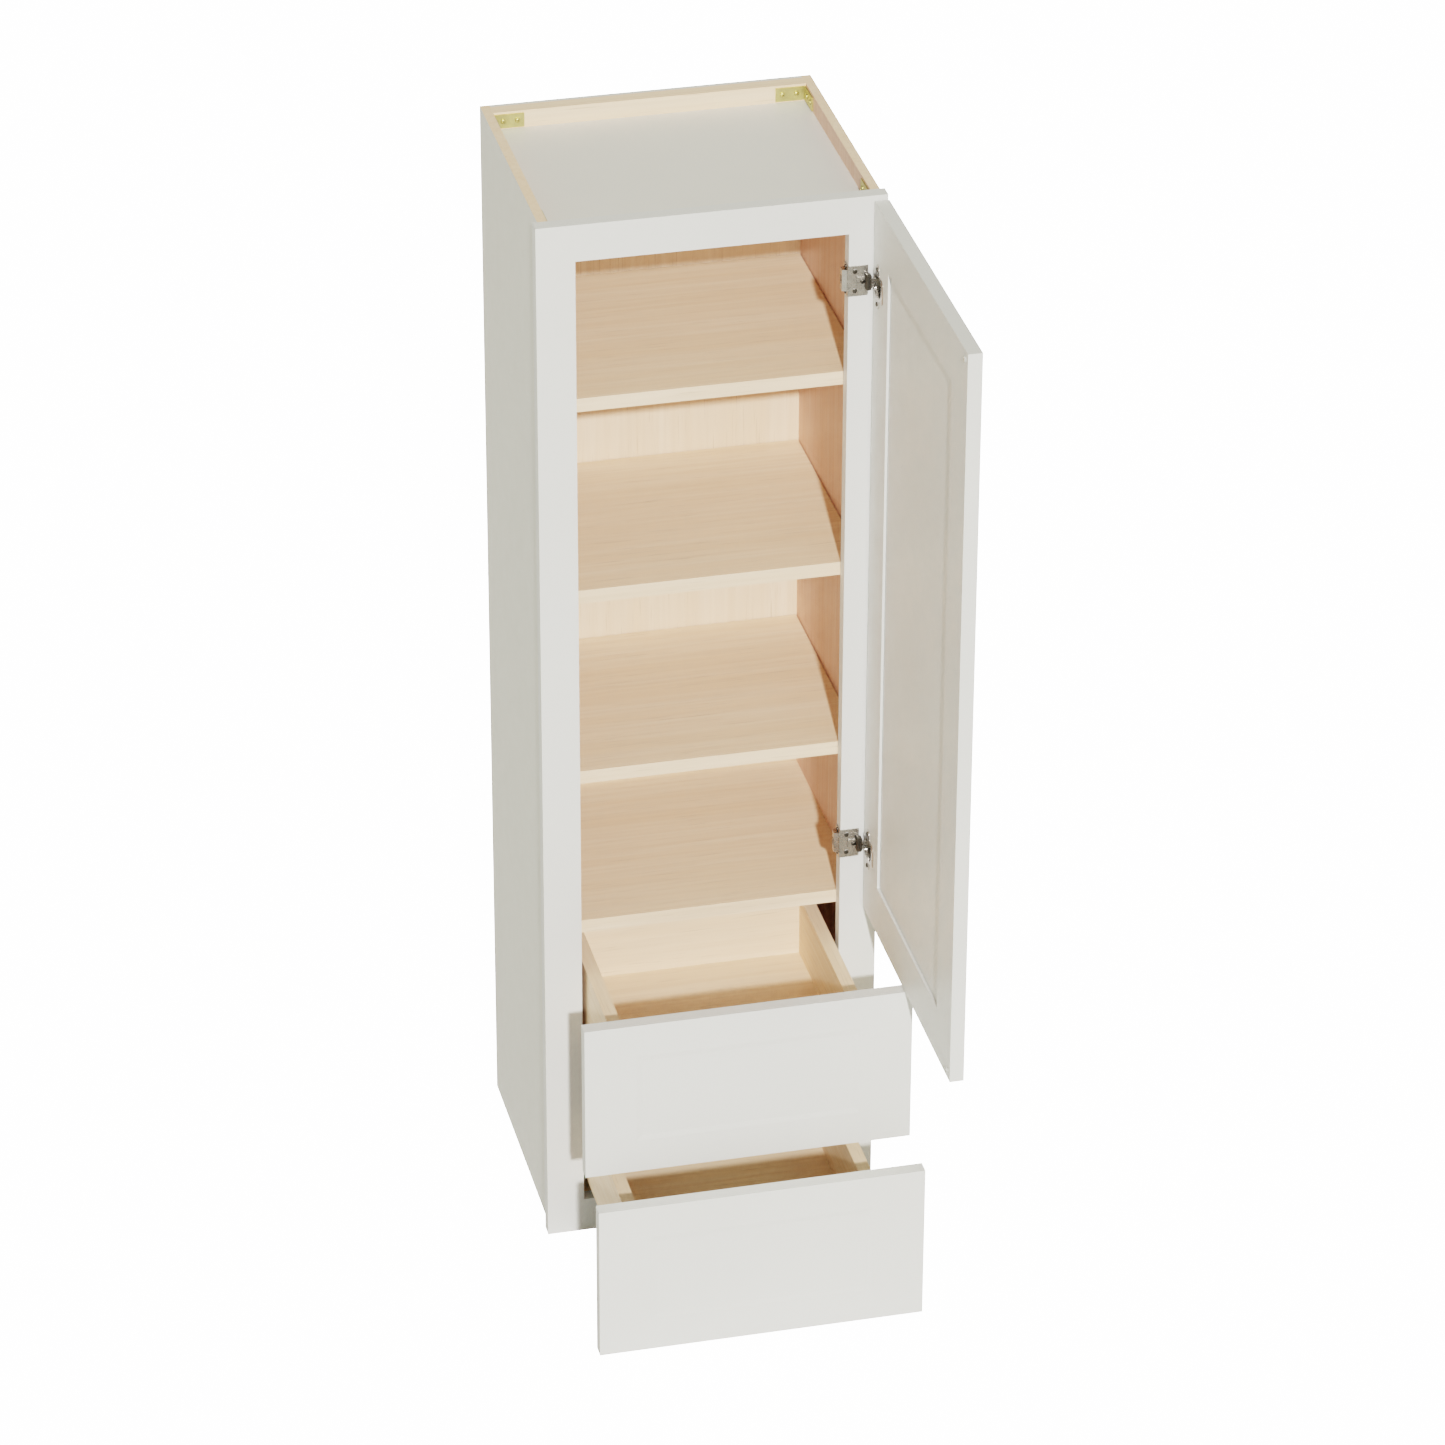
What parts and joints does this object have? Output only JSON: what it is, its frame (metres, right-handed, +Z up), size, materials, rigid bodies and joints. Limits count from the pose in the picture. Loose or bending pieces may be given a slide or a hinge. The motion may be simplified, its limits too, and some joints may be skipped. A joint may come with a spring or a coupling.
{
  "type": "pantry cabinet",
  "caption": "Tall framed storage cabinet with an overlay panel door on concealed hinges above adjustable shelves, and deep drawers on undermount runners below.",
  "frame": {"origin": "under the face frame: middle of the width, middle of the frame's thickness, level with the bottom", "axes": "+X to the right seen from the room, +Y from the room to the wall, +Z up"},
  "size_m": [0.4577, 0.8289, 1.524],
  "materials": {
    "painted_front": "light warm grey satin paint on wood",
    "painted_side": "light grey satin finish on board",
    "maple": "natural maple, clear satin coat",
    "brace_zinc": "yellow zinc plate",
    "hinge_nickel": "nickel plate",
    "runner_steel": "bright zinc plate",
    "bumper": "clear soft pad"
  },
  "bodies": {
    "carcass": {"left_side_panel": "painted_side", "right_side_panel": "painted_side", "top_panel": "painted_side", "bottom_panel": "maple", "back_panel": "maple", "top_hanging_rail": "maple", "bottom_hanging_rail": "maple", "frame_left_stile": "painted_front", "frame_right_stile": "painted_front", "frame_top_rail": "painted_front", "frame_bottom_rail": "painted_front", "fixed_deck": "maple", "lower_shelf": "maple", "middle_shelf": "maple", "upper_shelf": "maple", "back_left_corner_brace": "brace_zinc", "back_right_corner_brace": "brace_zinc", "front_left_corner_brace": "brace_zinc", "front_right_corner_brace": "brace_zinc", "upper_hinge_base": "hinge_nickel", "lower_hinge_base": "hinge_nickel", "upper_hinge_arm": "hinge_nickel", "lower_hinge_arm": "hinge_nickel", "upper_left_slide_rail": "runner_steel", "upper_right_slide_rail": "runner_steel", "lower_left_slide_rail": "runner_steel", "lower_right_slide_rail": "runner_steel"},
    "door": {"door_hinge_stile": "painted_front", "door_free_stile": "painted_front", "door_top_rail": "painted_front", "door_bottom_rail": "painted_front", "door_panel": "painted_front", "door_top_bumper": "bumper", "door_bottom_bumper": "bumper", "upper_hinge_cup": "hinge_nickel", "lower_hinge_cup": "hinge_nickel", "upper_hinge_pin": "runner_steel", "lower_hinge_pin": "runner_steel"},
    "upper_drawer": {"upper_drawer_front": "painted_front", "upper_drawer_left_side": "maple", "upper_drawer_right_side": "maple", "upper_drawer_box_front": "maple", "upper_drawer_back": "maple", "upper_drawer_floor": "maple", "upper_left_slide_member": "runner_steel", "upper_right_slide_member": "runner_steel"},
    "lower_drawer": {"lower_drawer_front": "painted_front", "lower_drawer_left_side": "maple", "lower_drawer_right_side": "maple", "lower_drawer_box_front": "maple", "lower_drawer_back": "maple", "lower_drawer_floor": "maple", "lower_left_slide_member": "runner_steel", "lower_right_slide_member": "runner_steel"},
    "upper_slide_middles": {"upper_left_slide_middle": "runner_steel", "upper_right_slide_middle": "runner_steel"},
    "lower_slide_middles": {"lower_left_slide_middle": "runner_steel", "lower_right_slide_middle": "runner_steel"}
  },
  "joints": [
    {"name": "door_swing", "type": "hinge", "parent": "carcass", "child": "door", "pos_m": [0.21625, -0.01893, 0], "axis": [0, 0, 1], "range_deg": [-90, 10]},
    {"name": "upper_drawer_slide", "type": "slide", "parent": "carcass", "child": "upper_drawer", "axis": [0, -1, 0], "range_m": [-0.19812, 0.10668]},
    {"name": "lower_drawer_slide", "type": "slide", "parent": "carcass", "child": "lower_drawer", "axis": [0, -1, 0], "range_m": [-0.2794, 0.0254]},
    {"name": "upper_slide_middle_travel", "type": "slide", "parent": "carcass", "child": "upper_slide_middles", "axis": [0, -1, 0], "range_m": [-0.09906, 0.05334]},
    {"name": "lower_slide_middle_travel", "type": "slide", "parent": "carcass", "child": "lower_slide_middles", "axis": [0, -1, 0], "range_m": [-0.1397, 0.0127]}
  ],
  "couplings": [
    {"joint": "upper_slide_middle_travel", "follows": "upper_drawer_slide", "ratio": 0.5},
    {"joint": "lower_slide_middle_travel", "follows": "lower_drawer_slide", "ratio": 0.5}
  ]
}
